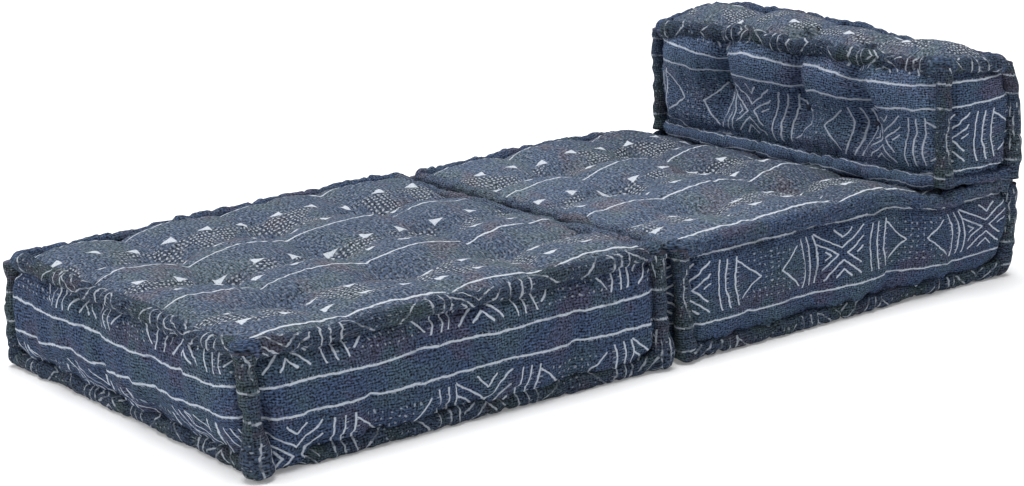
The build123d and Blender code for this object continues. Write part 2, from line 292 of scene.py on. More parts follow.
def build_cover(name):
    c = CUSHIONS[name]
    floor_kind = c["kind"] == "floor"
    step = 0.00875
    ycen = 0.5 * (c["y"][0] + c["y"][1])
    xs = ticks(-SX, SX, step, 0.0)
    ys = ticks(c["y"][0], c["y"][1], step, ycen)
    zstep = (c["z"][1] - c["z"][0]) / round((c["z"][1] - c["z"][0]) / (step * 1.1))
    zs = ticks(c["z"][0], c["z"][1], zstep, 0.5 * (c["z"][0] + c["z"][1]))
    box_p, keys, quads, side = lattice(xs, ys, zs)
    x, y, z = box_p.T
    nx, ny, nz = len(xs) - 1, len(ys) - 1, len(zs) - 1
    i, j, k = keys.T
    p = box_p.copy()
    tz = (z - c["z"][0]) / (c["z"][1] - c["z"][0])
    on_top = k == nz
    on_base = k == 0
    rim = ((i == 0) | (i == nx)).astype(int) + ((j == 0) | (j == ny)).astype(int) + ((k == 0) | (k == nz)).astype(int) >= 2
    pin = np.zeros(len(p))
    wob = Waves(c["seed"], 0.16)
    wob2 = Waves(c["seed"] + 1, 0.3)
    ridge = Waves(c["seed"] + 2, 0.07)
    if floor_kind:
        y0 = c["y"][0] - 0.013
        tuft_y = (y0 + 0.175, y0 + 0.350, y0 + 0.525)
        lx = (-SX,) + TUFT_X + (SX,)
        ly = (c["y"][0],) + tuft_y + (c["y"][1],)
        # the tuft lines wander a little
        xw = x + 0.006 * wob(x, y, 0 * x) * (np.abs(x) < 0.30)
        yw = y + 0.006 * wob(y, x, 0 * x + 3) * (np.abs(y - ycen) < 0.30)
        bx, by = cells(np.clip(xw, -SX, SX), lx), cells(np.clip(yw, c["y"][0], c["y"][1]), ly)
        if name == "seat":
            # no valley runs along the last row of tufts, where the back cushion pushes the stuffing up
            by = np.maximum(by, 0.80 * np.exp(-(((y - 0.505) / 0.055) ** 2)))
        # where two floor cushions meet, the puffs come closer to the seam
        near_a, near_b = (1.0, 1.7) if name == "front" else (1.7, 1.0)
        edge = np.minimum(SX - np.abs(x), np.minimum((y - c["y"][0]) * near_a, (c["y"][1] - y) * near_b))
        e = smooth(0, 0.055, edge)
        # some valleys are shallow and others deep
        uneven = Waves(c["seed"] + 3, 0.26, dims=2)
        bx = 1 - (1 - bx) * np.clip(0.86 + 0.42 * uneven(x, y), 0.45, 1.15)
        by = 1 - (1 - by) * np.clip(0.80 + 0.45 * uneven(y, x + 2), 0.30, 1.10)
        quilt = 0.38 * (bx + by) + 0.24 * bx * by
        inner = smooth(0.05, 0.20, edge)
        height = -0.0115 + (0.0190 + 0.0055 * inner) * quilt + 0.002 * wob2(x, y, 0 * x)
        if name == "seat":
            height = height + 0.012 * (bx - 0.85) * np.exp(-(((y - 0.515) / 0.040) ** 2))
        # soft square shoulders next to the rolls
        shoulder = 0.006 * smooth(0, 0.03, edge) * (1 - smooth(0.04, 0.09, edge))
        top = height * e + shoulder
        far_edge = x + SX
        top += 0.0045 * smooth(0.006, 0.035, far_edge) * (1 - smooth(0.08, 0.15, far_edge)) * (0.3 + 0.7 * by)
        deep = np.zeros_like(x)
        for tx in TUFT_X:
            for ty in tuft_y:
                r2 = (x - tx) ** 2 + (y - ty) ** 2
                deep += np.exp(-r2 / 0.027**2)
        top -= 0.012 * deep * np.clip(smooth(0.560, 0.500, y) + (name == "front"), 0, 1)
        drop = 0 * y
        if name == "seat":
            late = SLOPE[2] * smooth(0.430, 0.535, y)
            drop = np.where(on_top, seat_drop(y) * (1 - e) + late * e, seat_drop(y))
            # in front of the back cushion the puffs get lower, and under it they are pressed flat
            top = top * (1 - 0.38 * smooth(0.425, 0.512, y))
            under = smooth(0.530, 0.560, y)
            top = top * (1 - under) + under * 0.011 * e
        p[:, 2] = np.where(on_top, z + top, p[:, 2])
        base = np.minimum(1, (edge / 0.03)) ** 0.5 * 0.0112 * (1 - 0.75 * np.minimum(1, deep))
        p[:, 2] = np.where(on_base, z - base, p[:, 2])
        p[:, 2] -= drop * tz
        tufts = [(tx, ty) for tx in TUFT_X for ty in tuft_y]
        for tx, ty in tufts:
            r2 = (x - tx) ** 2 + (y - ty) ** 2
            pin = np.maximum(pin, np.where(on_top, np.exp(-r2 / 0.011**2), 0))
        pin = np.where(on_base, 1.0, pin)
        pin = np.where(on_top, np.maximum(pin, 0.08), pin)
    else:
        tz_mid = tuft_height(x)
        lx = BACK_LINES
        xw = x + 0.006 * wob(x, z, 0 * x) * (np.abs(x) < 0.30)
        bx = cells(np.clip(xw, -SX, SX), lx) ** 0.62
        # the valleys fade towards the lower edge
        bx = 1 - (1 - bx) * (0.50 + 0.50 * smooth(0.190, 0.235, z)) * (1 - 0.25 * smooth(0.285, 0.335, z))
        zc = np.clip(np.abs(z - tz_mid) / 0.088, 0, 1)
        bz = np.sin(np.pi * 0.5 * zc * 1.25) ** 0.75
        bz = np.where(zc * 1.25 > 1, np.maximum(np.cos((zc * 1.25 - 1) * np.pi * 0.9), 0) ** 0.75, bz)
        edge_fr = np.minimum(SX - np.abs(x), np.minimum(z - c["z"][0], c["z"][1] - z))
        e = smooth(0, 0.040, edge_fr)
        bulge = -0.013 + 0.021 * bx * (0.70 + 0.30 * bz) + 0.011 * bz
        out = bulge * e + 0.004 * smooth(0, 0.02, edge_fr) * (1 - e)
        deep = np.zeros_like(x)
        for tx, tz_at in BACK_TUFTS:
            # a dent that is wider to the far side of its tuft
            wide = np.where(x < tx, 0.046, 0.030)
            deep += np.exp(-(((x - tx) / wide) ** 2) - ((z - tz_at) / 0.036) ** 2)
        out -= 0.015 * deep
        on_f, on_r = (j == 0) & ~rim, (j == ny) & ~rim
        p[:, 1] = np.where(on_f, y - out, np.where(on_r, y + 0.7 * out, p[:, 1]))
        edge_t = np.minimum(SX - np.abs(x), np.minimum(y - c["y"][0], c["y"][1] - y))
        hill = 0.013 * smooth(0, 0.06, edge_t) + 0.005 * cells(np.clip(xw, -SX, SX), lx) * smooth(0, 0.05, edge_t)
        p[:, 2] = np.where(on_top, z + hill + 0.002 * wob2(x, y, 0 * x), p[:, 2])
        p[:, 2] = np.where(on_base, z - 0.008 * smooth(0, 0.02, edge_t), p[:, 2])
        for tx, tz_at in BACK_TUFTS:
            r2 = (x - tx) ** 2 + (z - tz_at) ** 2
            pin = np.maximum(pin, np.where(on_f | on_r, np.exp(-r2 / 0.011**2), 0))
        pin = np.where(on_base, 1.0, pin)
        pin = np.where(on_f | on_r, np.maximum(pin, 0.05), pin)
    # sides swell a little between the seams
    seam_z = np.minimum(z - c["z"][0], c["z"][1] - z)
    seam_y = np.minimum(y - c["y"][0], c["y"][1] - y)
    seam_x = SX - np.abs(x)
    lump = 1 + 0.30 * wob(x, y, z)
    on_l, on_rt = (i == nx) & ~rim, (i == 0) & ~rim
    out = 0.0085 * smooth(0.003, 0.030, seam_z) * smooth(0.003, 0.027, seam_y) * lump
    p[:, 0] = np.where(on_l, x + out, np.where(on_rt, x - out, p[:, 0]))
    out = 0.0085 * smooth(0.003, 0.030, seam_z) * smooth(0.003, 0.027, seam_x) * lump
    if floor_kind:
        on_f, on_r = (j == 0) & ~rim, (j == ny) & ~rim
        p[:, 1] = np.where(on_f, y - out, np.where(on_r, y + out, p[:, 1]))
    pin = np.where(rim, 1.0, pin)
    if name == "front":
        low = (i == nx) * tucked(y) * (1 - smooth(0.013, 0.060, z))
        p[:, 2] -= 0.009 * low * (1 - smooth(0.013, 0.045, z))
        p[:, 0] += 0.007 * low

    # cloth coordinates per corner
    loops, flat_side = [], []
    by_side = {}
    for s in ("left", "right", "front", "rear"):
        by_side[s] = side_uv(name, s, box_p)
    flat = np.stack([box_p[:, 0], box_p[:, 1]], axis=1)
    if not floor_kind:
        # the cloth lies the other way round on this narrow top
        flat = np.stack([box_p[:, 1] - 0.386, box_p[:, 0]], axis=1)
    slots = []
    for q, s in zip(quads, side):
        src = by_side[s] if s in by_side else flat
        loops.extend(src[v] for v in q)
        if s == "top":
            slots.append(0)
        elif s == "base":
            slots.append(2)
        else:
            slots.append(3 if s == "front" else 1)
    upright = (k > 0) & (k < nz)
    if not floor_kind:
        upright &= ~((j == 0) | (j == ny))
    return p, quads, np.array(loops), slots, pin, upright


def simulate(o, pin, frames, grow, pressure, side_zone):
    """Blows the cover up between its pinned seams and tufts, so that the cloth puckers there."""
    start = points(o.data)
    g = o.vertex_groups.new(name="held")
    for w in np.unique(np.round(pin, 2)):
        if w > 0:
            g.add([int(v) for v in np.where(np.round(pin, 2) == w)[0]], float(w), "REPLACE")
    m = o.modifiers.new("cloth", "CLOTH")
    s = m.settings
    s.quality = 5
    s.mass = 0.25
    s.tension_stiffness = 18
    s.compression_stiffness = 18
    s.shear_stiffness = 6
    s.bending_stiffness = 0.35
    s.tension_damping = 6
    s.compression_damping = 6
    s.air_damping = 2
    s.vertex_group_mass = g.name
    s.pin_stiffness = 1.0
    s.use_pressure = True
    s.uniform_pressure_force = pressure
    s.shrink_min = -grow
    s.effector_weights.gravity = 0
    m.collision_settings.use_collision = False
    m.collision_settings.use_self_collision = False
    m.point_cache.frame_start = 1
    m.point_cache.frame_end = frames + 1
    for f in range(1, frames + 1):
        scene.frame_set(f)
    dg = bpy.context.evaluated_depsgraph_get()
    e = o.evaluated_get(dg)
    me = e.to_mesh()
    p = points(me)
    e.to_mesh_clear()
    o.modifiers.remove(m)
    scene.frame_set(1)
    o.vertex_groups.clear()
    move = p - start
    length = np.linalg.norm(move, axis=1)
    cap = np.where(side_zone, 0.0045, 0.0085)
    scale = np.where(length > 1e-9, cap * np.tanh(length / cap) / np.maximum(length, 1e-9), 1)
    set_points(o.data, start + move * scale[:, None])


def subdivide(o):
    m = o.modifiers.new("sub", "SUBSURF")
    m.levels = m.render_levels = 1
    m.uv_smooth = "NONE"
    dg = bpy.context.evaluated_depsgraph_get()
    me = bpy.data.meshes.new_from_object(o.evaluated_get(dg), preserve_all_data_layers=True, depsgraph=dg)
    o.modifiers.clear()
    old = o.data
    o.data = me
    me.name = o.name
    bpy.data.meshes.remove(old)


# Places where the sides are caught in: point, outward direction, strength
PINCHES = {
    "front": (((-0.096, -0.698, 0.160), (0, -1, 0), 1.1), ((0.150, -0.695, 0.150), (0, -1, 0), 0.8), ((0.235, -0.695, 0.150), (0, -1, 0), 0.6),
              ((0.344, -0.430, 0.150), (1, 0, 0), 0.7)),
    "seat": (((0.344, 0.300, 0.150), (1, 0, 0), 0.6),),
    "back": (((0.344, 0.640, 0.185), (1, 0, 0), 0.6),),
}


def star_folds(name, o, tufts, seed):
    """Creases that run together at each tuft, and small pleats along the seams."""
    c = CUSHIONS[name]
    me = o.data
    p, n = points(me), normals(me)
    r = np.random.default_rng(seed)
    d = np.zeros(len(p))
    for t, nrm in tufts:
        t, nrm = np.array(t), np.array(nrm)
        rel = p - t
        h = rel - (rel @ nrm)[:, None] * nrm
        dist = np.linalg.norm(h, axis=1)
        near = (dist < 0.11) & (n @ nrm > 0.3)
        ax = 0 if abs(nrm[0]) < 0.5 else 1
        other = [a for a in range(3) if a != ax and abs(nrm[a]) < 0.5][0]
        ang = np.arctan2(h[:, other], h[:, ax])
        k1, k2 = r.integers(5, 8), r.integers(9, 13)
        a1, a2 = r.uniform(0, 6.28, 2)
        fall = np.exp(-dist / 0.028) * smooth(0.003, 0.014, dist)
        fall2 = np.exp(-dist / 0.018) * smooth(0.003, 0.010, dist)
        d += np.where(near, -0.0050 * fall * np.abs(np.sin(0.5 * k1 * ang + a1)) ** 0.6 - 0.0022 * fall2 * np.sin(k2 * ang + a2), 0)
    w = Waves(seed + 5, 0.020, count=18)
    w2 = Waves(seed + 6, 0.060)
    w3 = Waves(seed + 7, 0.011, count=18)
    amount = 0.5 + 0.5 * w2(*p.T)
    d += 0.0008 * w(*p.T) * np.clip(amount, 0.15, 1) + 0.00025 * w3(*p.T)
    # pleats: short folds square to the seam, deepest at the seam
    lo = np.array([-SX, c["y"][0], c["z"][0]])
    hi = np.array([SX, c["y"][1], c["z"][1]])
    if name == "seat":
        zt = hi[2] - seat_drop(p[:, 1])
    else:
        zt = np.full(len(p), hi[2])
    gap_z = np.minimum(np.abs(p[:, 2] - zt), np.abs(p[:, 2] - lo[2]))
    gap_x = np.minimum(np.abs(p[:, 0] - lo[0]), np.abs(p[:, 0] - hi[0]))
    gap_y = np.minimum(np.abs(p[:, 1] - lo[1]), np.abs(p[:, 1] - hi[1]))
    facing = np.abs(n).argmax(axis=1)
    reach = Waves(seed + 9, 0.05)
    for axis, gaps in ((0, (gap_y, gap_z)), (1, (gap_x, gap_z)), (2, (gap_x, gap_y))):
        runs = {0: (2, 1), 1: (2, 0), 2: (1, 0)}[axis]
        for gap, run in zip(gaps, runs):
            pick = facing == axis
            s_at = p[:, run]
            pleat = Waves(seed + 31 * axis + run, 0.022, dims=1, count=10, spread=0.6)
            strength = np.clip(0.55 + 0.6 * reach(s_at, 0 * s_at + axis, 0 * s_at + run), 0, 1)
            d += np.where(pick, 0.0022 * pleat(s_at) * strength * np.exp(-gap / 0.018), 0)
    for axis, run, other in ((0, 1, 2), (1, 0, 2)):
        fold = Waves(seed + 57 + axis, 0.050, dims=2, count=10, spread=0.5)
        mid = smooth(0.0, 0.03, np.minimum(p[:, 2] - lo[2], zt - p[:, 2]))
        high = 0.0026 if name == "front" and axis == 1 else 0.0018
        d += np.where(facing == axis, high * fold(p[:, run], 0.25 * p[:, other]) * mid, 0)
    # the panels dive in beside the upright seams, and here and there beside the rolls
    for axis, gap in ((0, gap_y), (1, gap_x)):
        deep = 0.75 + 0.35 * reach(p[:, 2], 0 * p[:, 2] + axis, 0 * p[:, 2])
        d -= np.where(facing == axis, 0.0070 * deep * np.exp(-(((gap - 0.0145) / 0.0052) ** 2)), 0)
        along = p[:, 1 - axis]
        part = np.clip(0.35 + 0.75 * reach(along, 0 * along + 5, 0 * along + axis), 0, 1)
        d -= np.where(facing == axis, 0.0050 * part * np.exp(-(((gap_z - 0.0135) / 0.0050) ** 2)), 0)
    shift = np.zeros_like(p)
    if name == "back":
        front_face = (n[:, 1] < -0.3) & (p[:, 1] < 0.62)
        rise = smooth(0.245, 0.275, p[:, 2])
        fall = 1 - smooth(0.225, 0.262, p[:, 2])
        for (tx, up_x, up_size, low_size) in ((-0.172, -0.166, 1.0, 0.15), (0.018, 0.010, 0.9, 0.25), (0.174, 0.152, 0.85, 0.45)):
            slant = tx + (up_x - tx) * smooth(0.256, 0.310, p[:, 2])
            g = np.exp(-np.abs((p[:, 0] - slant) / 0.0125) ** 1.5)
            size = (up_size * rise + low_size * fall) * np.exp(-(np.clip(0.20 - p[:, 2], 0, 1) / 0.02) ** 2)
            shift[:, 1] += np.where(front_face, 0.0165 * size * g, 0)
            wide = np.exp(-(((p[:, 0] - slant) / 0.018) ** 2))
            shift[:, 2] -= np.where(front_face, 0.0075 * up_size * wide * smooth(0.285, 0.325, p[:, 2]), 0)
    for at, nrm, size in PINCHES.get(name, ()):
        rel = p - np.array(at)
        dist = np.linalg.norm(rel, axis=1)
        nv = np.array(nrm, dtype=float)
        flat = rel - (rel @ nv)[:, None] * nv
        a_axis = 0 if abs(nrm[0]) < 0.5 else 1
        ang = np.arctan2(flat[:, 2], flat[:, a_axis])
        near = (dist < 0.09) & (n @ nv > 0.2)
        fall = np.exp(-dist / (0.020 * size))
        d += np.where(near, -0.009 * size * fall - 0.0032 * fall * smooth(0.004, 0.012, dist) * np.sin(11 * ang + 1.0), 0)
    set_points(me, p + n * d[:, None] + shift)


# ---------------------------------------------------------------- rolled edges


def closed_path(name, which, step):
    """Centre line of a rolled edge: points, outward directions, corner share, and the side each point lies on."""
    c = CUSHIONS[name]
    x0, x1 = -SX, SX
    y0, y1 = c["y"]
    R = 0.020
    pts, outs, corner, sides = [], [], [], []

    def line(a, b, out, side):
        n = max(2, int(round(math.dist(a, b) / step)))
        for q in range(n):
            t = q / n
            pts.append((a[0] + (b[0] - a[0]) * t, a[1] + (b[1] - a[1]) * t))
            outs.append(out)
            corner.append(0.0)
            sides.append(side)

    def arc(cx, cy, a0, a1, side_a, side_b):
        n = max(4, int(round(R * abs(a1 - a0) / (step * 0.8))))
        for q in range(n):
            t = q / n
            a = a0 + (a1 - a0) * t
            pts.append((cx + R * math.cos(a), cy + R * math.sin(a)))
            outs.append((math.cos(a), math.sin(a)))
            corner.append(math.sin(math.pi * (q + 0.5) / n))
            sides.append(side_a if t < 0.5 else side_b)

    ym = 0.5 * (y0 + y1)
    line((x0, ym), (x0, y0 + R), (-1, 0), "right")
    arc(x0 + R, y0 + R, math.pi, 1.5 * math.pi, "right", "front")
    line((x0 + R, y0), (x1 - R, y0), (0, -1), "front")
    arc(x1 - R, y0 + R, 1.5 * math.pi, 2 * math.pi, "front", "left")
    line((x1, y0 + R), (x1, y1 - R), (1, 0), "left")
    arc(x1 - R, y1 - R, 0, 0.5 * math.pi, "left", "rear")
    line((x1 - R, y1), (x0 + R, y1), (0, 1), "rear")
    arc(x0 + R, y1 - R, 0.5 * math.pi, math.pi, "rear", "right")
    line((x0, y1 - R), (x0, ym), (-1, 0), "right")
    return np.array(pts), np.array(outs), np.array(corner), sides


def notches(length, seed, gap, width, depth):
    """Pinches along a rolled edge, as pairs of place, width and depth."""
    r = np.random.default_rng(seed)
    at, out = r.uniform(0, gap), []
    while at < length:
        out.append((at, width * r.uniform(0.6, 1.5), depth * r.uniform(0.25, 1.0) ** 0.8, r.uniform(-0.012, 0.012)))
        at += gap * r.uniform(0.45, 1.7)
    return out


def build_roll(name, which):
    c = CUSHIONS[name]
    step = 0.0042
    ring = 22
    pts, outs, corner, sides = closed_path(name, which, step)
    seed = c["seed"] * 10 + (1 if which == "top" else 2)
    n = len(pts)
    seg = np.linalg.norm(np.roll(pts, -1, axis=0) - pts, axis=1)
    s = np.concatenate([[0], np.cumsum(seg)[:-1]])
    total = seg.sum()
    z_at = c["z"][1] if which == "top" else c["z"][0]
    z = np.full(n, z_at)
    if which == "top" and name == "seat":
        z = z - seat_drop(pts[:, 1])
    is_top = which == "top"
    # slow wander of the edge
    a = 2 * np.pi * s / total
    circ = np.stack([np.cos(a), np.sin(a)], axis=1) * total / (2 * np.pi)
    w1, w2 = Waves(seed, 0.22, dims=2), Waves(seed + 1, 0.17, dims=2)
    w3 = Waves(seed + 2, 0.055, dims=2)
    w4 = Waves(seed + 3, 0.035, dims=2, count=18)
    rise = 0.0022 * w1(*circ.T) + 0.0012 * w3(*circ.T)
    side_move = 0.0016 * w2(*circ.T) + 0.0008 * w4(*circ.T)
    big = 1.0 + (0.10 if is_top else 0.20) * corner ** 0.8
    base_r = 0.0128 * (1 + 0.09 * w3(circ[:, 1], circ[:, 0]))
    if not is_top and name == "back":
        base_r *= 0.78
    junction = {"front": "rear", "seat": "front"}.get(name)
    meet = np.array([sd == junction for sd in sides]) * (1 - corner)
    base_r = base_r * (1 - 0.10 * meet)
    radius = base_r * big
    if is_top:
        zc = z + rise
    else:
        zc = np.maximum(z + rise * 0.4, z_at - 0.013 + radius * 0.96)
    push = side_move * (1 - 0.7 * meet) + (0.002 if is_top else 0.004) * corner + 0.0022 * meet
    if name == "back" and is_top:
        front_side = np.array([sd == "front" for sd in sides])
        for tx, size in ((-0.168, 1.0), (0.010, 0.9), (0.152, 0.8), (-0.205, 0.45), (-0.120, 0.35), (-0.062, 0.5),
                         (0.048, 0.4), (0.098, 0.55), (0.214, 0.5), (0.262, 0.35)):
            g = np.exp(-(((pts[:, 0] - tx) / (0.009 + 0.005 * size)) ** 2)) * front_side * size
            zc = zc - 0.0075 * g
            push = push - 0.0065 * g
            radius = radius * (1 - 0.16 * g)
        zc = zc - 0.002 * front_side
        radius = radius * (1 + 0.10 * front_side)
    if name == "back" and not is_top:
        fore = np.array([sd == "front" for sd in sides]) * (1 - corner) * smooth(SX, SX - 0.04, np.abs(pts[:, 0]))
        swell = cells(np.clip(pts[:, 0], -SX, SX), BACK_LINES) ** 0.7
        push = push + (0.001 + 0.010 * swell) * fore
        zc = zc - (0.0065 - 0.0025 * swell) * fore
        radius = radius * (1 + 0.38 * fore)
    for at, nrm, size in PINCHES.get(name, ()):
        if (at[2] > 0.1) == is_top and name != "back":
            along = pts[:, 0] if abs(nrm[1]) > 0.5 else pts[:, 1]
            here = np.array([sd == ("front" if abs(nrm[1]) > 0.5 else "left") for sd in sides])
            g = np.exp(-(((along - (at[0] if abs(nrm[1]) > 0.5 else at[1])) / 0.020) ** 2)) * here * size
            zc = zc - 0.004 * g
            push = push - 0.003 * g
    if name == "front" and not is_top:
        under = np.array([sd == "left" for sd in sides]) * tucked(pts[:, 1]) * smooth(-0.690, -0.676, pts[:, 1])
        push = push - 0.010 * under - 0.003 * np.array([sd == "left" for sd in sides])
        radius = radius * (1 - 0.28 * under)
        zc = z_at - 0.013 + radius * 0.96
    centre = np.stack([pts[:, 0] + outs[:, 0] * push, pts[:, 1] + outs[:, 1] * push, zc], axis=1)
    phi = 2 * np.pi * np.arange(ring) / ring
    # round the ring: from the outer crease, over the outside, to the inner crease
    if is_top:
        dir_out, dir_z = np.sin(phi), -np.cos(phi)
    else:
        dir_out, dir_z = np.sin(phi), np.cos(phi)
    tight = notches(total, seed + 4, 0.060, 0.0042, 0.0050)
    small = notches(total, seed + 5, 0.020, 0.0028, 0.0020)
    P = np.zeros((n, ring, 3))
    S = s[:, None] + 0 * phi[None, :]
    wob = Waves(seed + 6, 0.016, dims=3, count=18)
    lump = Waves(seed + 7, 0.045, dims=3)
    cutting = np.zeros((n, ring))
    for at, wd, dp, skew in tight + small:
        u = S + skew * np.sin(phi)[None, :] * 0.8 - at
        u = (u + total / 2) % total - total / 2
        cutting += dp * np.exp(-(u / wd) ** 2)
    X = centre[:, None, 0] + 0 * S
    Y = centre[:, None, 1] + 0 * S
    Z = centre[:, None, 2] + 0 * S
    rr = radius[:, None] * (1 + 0.05 * lump(X + 0.02 * dir_out, Y, Z + 0.02 * dir_z)) - np.minimum(cutting, 0.0054)
    rr += 0.00045 * wob(X + 0.013 * dir_out[None, :], Y, Z + 0.013 * dir_z[None, :])
    # the roll is a little flatter on its outside than round
    flat = 1 - 0.06 * np.clip(dir_out, 0, 1)[None, :] ** 4
    P[:, :, 0] = X + outs[:, None, 0] * dir_out[None, :] * rr * flat
    P[:, :, 1] = Y + outs[:, None, 1] * dir_out[None, :] * rr * flat
    P[:, :, 2] = Z + dir_z[None, :] * rr
    verts = P.reshape(-1, 3)
    # cloth coordinates: the same length as the side that the roll belongs to
    u_at = np.zeros((n, 2))
    flat_p = np.stack([pts[:, 0], pts[:, 1], np.full(n, z_at - 0.0125 if is_top else z_at + 0.0125)], axis=1)
    quads, loops, slots = [], [], []
    uv_side = {sd: side_uv(name, sd, flat_p) for sd in ("left", "right", "front", "rear")}
    sign = 1 if is_top else -1
    # rolls that show only the plain band of the cloth
    plain = {"front": ("rear", "right"), "seat": ("front", "rear", "right", "left"), "back": ("rear", "right")}[name] if is_top else (
        ("left", "rear", "right") if name == "back" else ("rear",))
    for q in range(n):
        q2 = (q + 1) % n
        sd = sides[q]
        a0, a1 = uv_side[sd][q], uv_side[sd][q2]
        if abs(a1[0] - a0[0]) > 0.05:
            a1 = a0
        bare = sd in plain or (corner[q] > 0.05 and is_top)
        printed = 3 if name == "back" and not is_top and sd == "front" else 0
        slots.extend([(1 if meet[q] > 0.5 else 2) if bare else printed] * ring)
        if bare:
            a0, a1 = (a0[0], 0.0795), (a1[0], 0.0795)
        for t in range(ring):
            t2 = (t + 1) % ring
            v0 = sign * (TUCK + 0.0128 * phi[t])
            v1 = sign * (TUCK + 0.0128 * (phi[t] + 2 * np.pi / ring))
            if bare:
                v0 = 0.0128 * (phi[t] - np.pi)
                v1 = v0 + 0.0128 * 2 * np.pi / ring
            elif name == "back" and not is_top and sd == "front":
                # the cloth runs on over this roll, with its next long line in arcs between the tufts
                grow = 0.0290 * (1 - 0.42 * (1 - swell[q]))
                v0 = -0.0495 - grow * phi[t] - a0[1]
                v1 = v0 - grow * 2 * np.pi / ring
            quad = (q * ring + t, q2 * ring + t, q2 * ring + t2, q * ring + t2)
            uv = ((a0[0], a0[1] + v0), (a1[0], a1[1] + v0), (a1[0], a1[1] + v1), (a0[0], a0[1] + v1))
            if not is_top:
                quad, uv = quad[::-1], uv[::-1]
            quads.append(quad)
            loops.extend(uv)
    return verts, quads, np.array(loops), slots


def build_corners(name):
    """The four upright stitched edges, fullest where they meet the rolls."""
    c = CUSHIONS[name]
    verts, quads, loops = [], [], []
    step = 0.0045
    ring = 20
    R = -0.0005
    for number, (sx, iy) in enumerate(((1, 0), (-1, 0), (1, 1), (-1, 1))):
        seed = c["seed"] * 7 + number
        cx = sx * (SX - R)
        cy = c["y"][iy] + (R if iy == 0 else -R)
        z0, z1 = c["z"]
        if name == "seat" and iy == 1:
            z1 = z1 - SLOPE[2]
        n = int(round((z1 - z0) / step))
        floor_end = c["kind"] == "floor"
        zz = np.linspace(z0 - (0.0118 if floor_end else 0.006), z1 - 0.001, n + 1)
        t = np.clip((zz - z0) / (z1 - z0), 0, 1)
        w, w2 = Waves(seed, 0.08, dims=1), Waves(seed + 1, 0.03, dims=1, count=10)
        full = {("front", 1, 0): 1.0, ("front", -1, 0): 0.35, ("seat", 1, 1): 0.45}.get((name, sx, iy), 0.6)
        low = np.exp(-(((t * (z1 - z0) - 0.004) / 0.034) ** 2)) * (full if floor_end else 0.35)
        high = np.exp(-(((1 - t) * (z1 - z0) / 0.016) ** 2))
        rad = 0.0124 + 0.0009 * w(zz) + 0.0084 * low + 0.0022 * high
        if (name, sx, iy) == ("front", 1, 0):
            rad = rad + 0.0010
        if (name, sx, iy) == ("front", -1, 0):
            # an ear at the top, a neck below it and a belly half way down
            rad = rad + 0.0045 * np.exp(-(((t - 0.97) / 0.10) ** 2)) - 0.0030 * np.exp(-(((t - 0.78) / 0.08) ** 2)) + 0.0020 * np.exp(-(((t - 0.45) / 0.2) ** 2))
        cut = np.zeros(len(zz))
        for at, wd, dp, skew in notches(z1 - z0, seed + 3, 0.040, 0.004, 0.0026):
            cut += dp * np.exp(-((zz - z0 - at) / wd) ** 2)
        rad = rad - np.minimum(cut, 0.0026)
        if floor_end:
            end = np.clip((zz - zz[0]) / 0.012, 0, 1)
            rad = rad * np.sqrt(1 - (1 - end) ** 2 * 0.85)
        dx = 0.0010 * w2(zz) + sx * (0.0035 * low - 0.0020 * high)
        dy = 0.0010 * w2(zz + 3) + (1 if iy else -1) * (0.0035 * low - 0.0020 * high)
        outward = math.atan2(-1 if iy == 0 else 1, sx)
        phi = 2 * np.pi * np.arange(ring) / ring
        start = len(verts)
        edge_front = {0: "front", 1: "rear"}[iy]
        edge_side = {1: "left", -1: "right"}[sx]
        for q in range(len(zz)):
            for f in phi:
                verts.append((cx + dx[q] + rad[q] * math.cos(f), cy + dy[q] + rad[q] * math.sin(f), zz[q]))
        line = np.stack([np.full(len(zz), cx), np.full(len(zz), cy), zz], axis=1)
        uv_a, uv_b = side_uv(name, edge_front, line), side_uv(name, edge_side, line)
        for q in range(n):
            for m in range(ring):
                m2 = (m + 1) % ring
                quads.append((start + q * ring + m, start + q * ring + m2, start + (q + 1) * ring + m2, start + (q + 1) * ring + m))
                mid = (phi[m] + math.pi / ring - outward + math.pi) % (2 * math.pi) - math.pi
                # which of the two sides' cloth shows on this strip
                turn = mid * (1 if sx * (-1 if iy == 0 else 1) < 0 else -1)
                src = uv_b if turn > 0 else uv_a
                # one upright line of the print lies on the strip next to the long side, dots on the other
                start_u = 0.0585 if turn > 0 else 0.146
                a0 = abs(turn) * 0.0140
                a1 = a0 + 0.0140 * 2 * math.pi / ring * (1 if turn > 0 else -1)
                for (row, off) in ((q, a0), (q, a1), (q + 1, a1), (q + 1, a0)):
                    loops.append((start_u + off, src[row][1] - 0.0015))
        for cap, row in ((0, 0), (1, n)):
            centre = len(verts)
            verts.append((cx + dx[row], cy + dy[row], zz[row] + (0.004 if cap else -0.004)))
            for m in range(ring):
                m2 = (m + 1) % ring
                a, b = start + row * ring + m, start + row * ring + m2
                quads.append((a, b, centre) if cap else (b, a, centre))
                loops.extend([(0.1 + 0.001 * m, 0.0795)] * 3)
    return np.array(verts), quads, np.array(loops)


